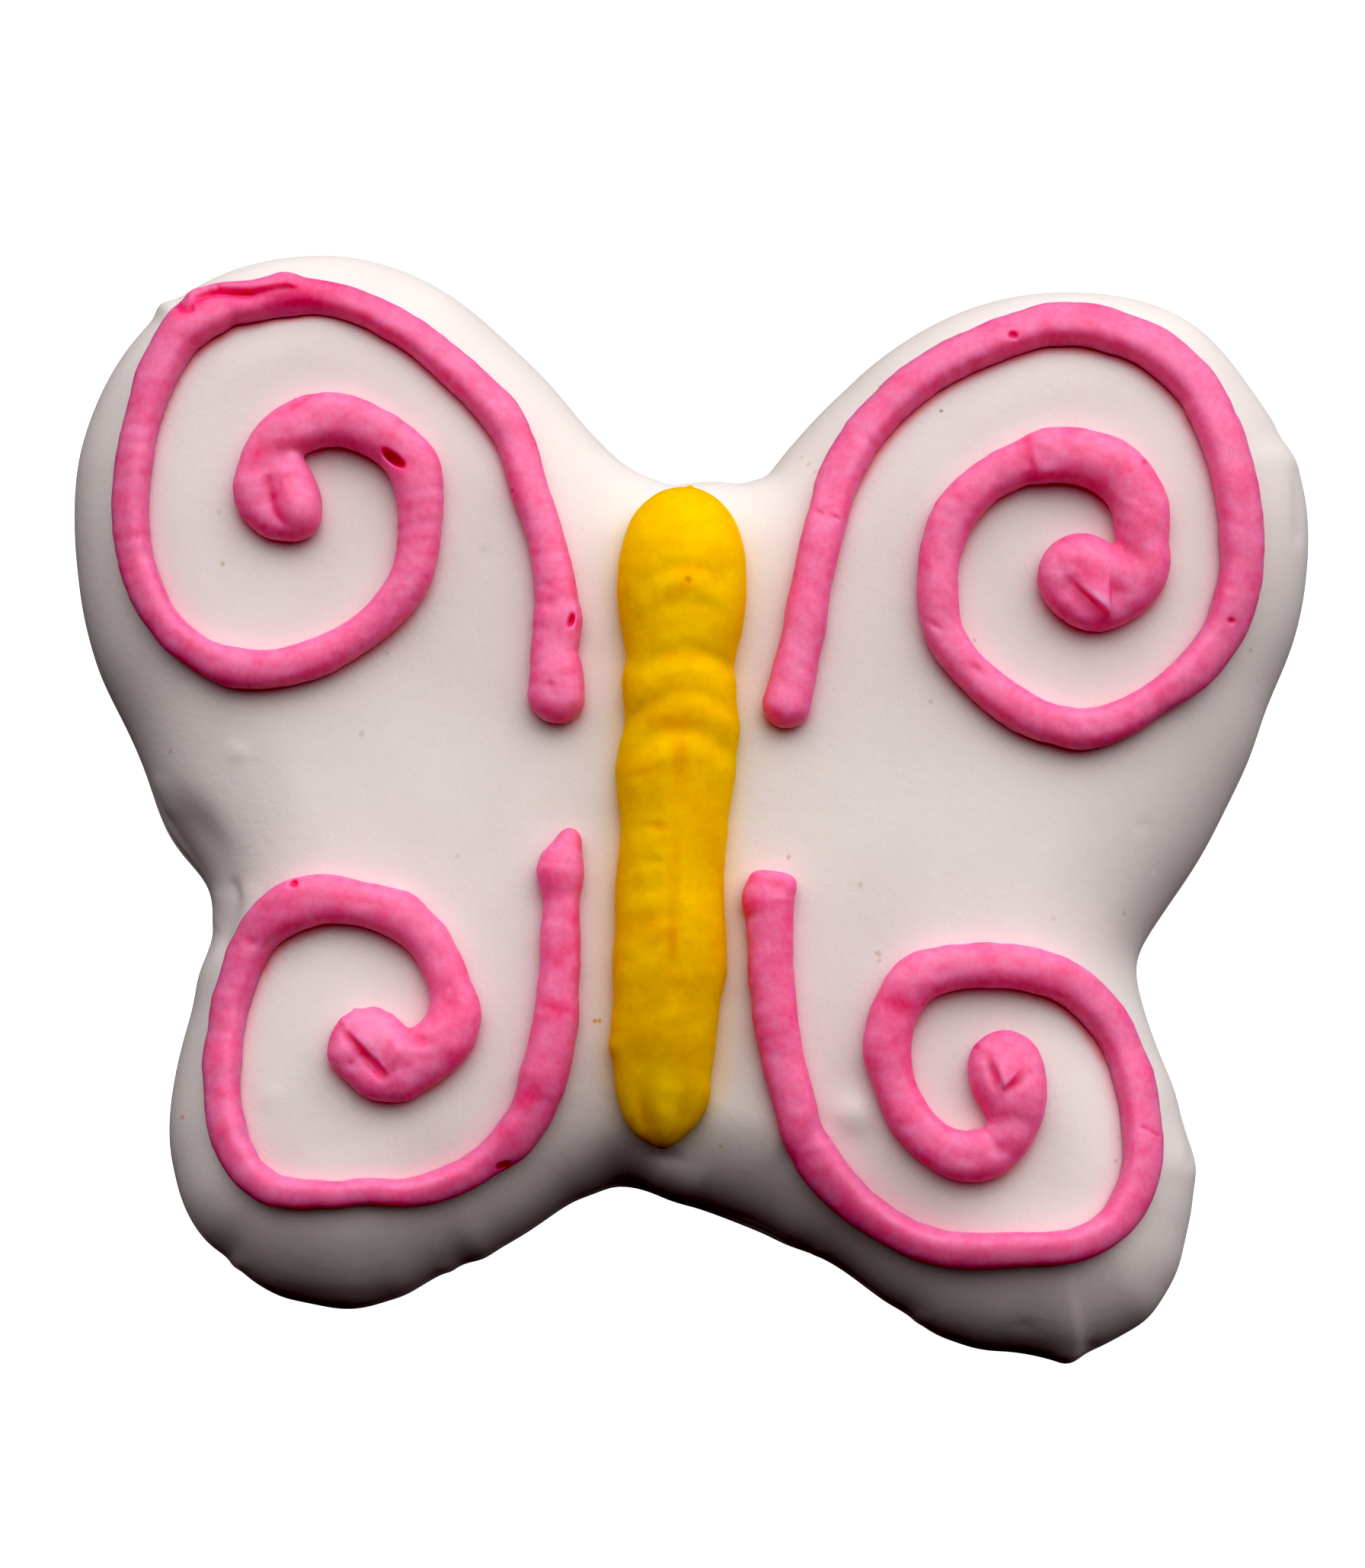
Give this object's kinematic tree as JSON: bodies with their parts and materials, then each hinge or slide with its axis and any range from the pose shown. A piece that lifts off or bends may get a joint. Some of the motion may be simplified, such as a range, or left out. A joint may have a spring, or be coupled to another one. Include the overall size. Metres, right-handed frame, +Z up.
{
  "type": "iced sugar cookie",
  "caption": "Butterfly-shaped sugar cookie coated all over in white icing, with piped pink scrolls on the wings and a piped yellow body.",
  "frame": {"origin": "on the resting surface, under the middle of the outline's bounding box", "axes": "+Z up out of the iced top, +Y along the piped body towards the butterfly's head, +X towards the right wings seen from above"},
  "size_m": [0.101, 0.088, 0.0165],
  "materials": {
    "white_icing": "satin set icing, very fine orange-peel surface",
    "pink_icing": "satin piped icing with fine pores",
    "yellow_icing": "smooth satin piped icing"
  },
  "bodies": {
    "root": {"iced_biscuit": "white_icing", "scroll_fore_left": "pink_icing", "scroll_fore_right": "pink_icing", "scroll_hind_left": "pink_icing", "scroll_hind_right": "pink_icing", "piped_body": "yellow_icing"}
  },
  "joints": []
}
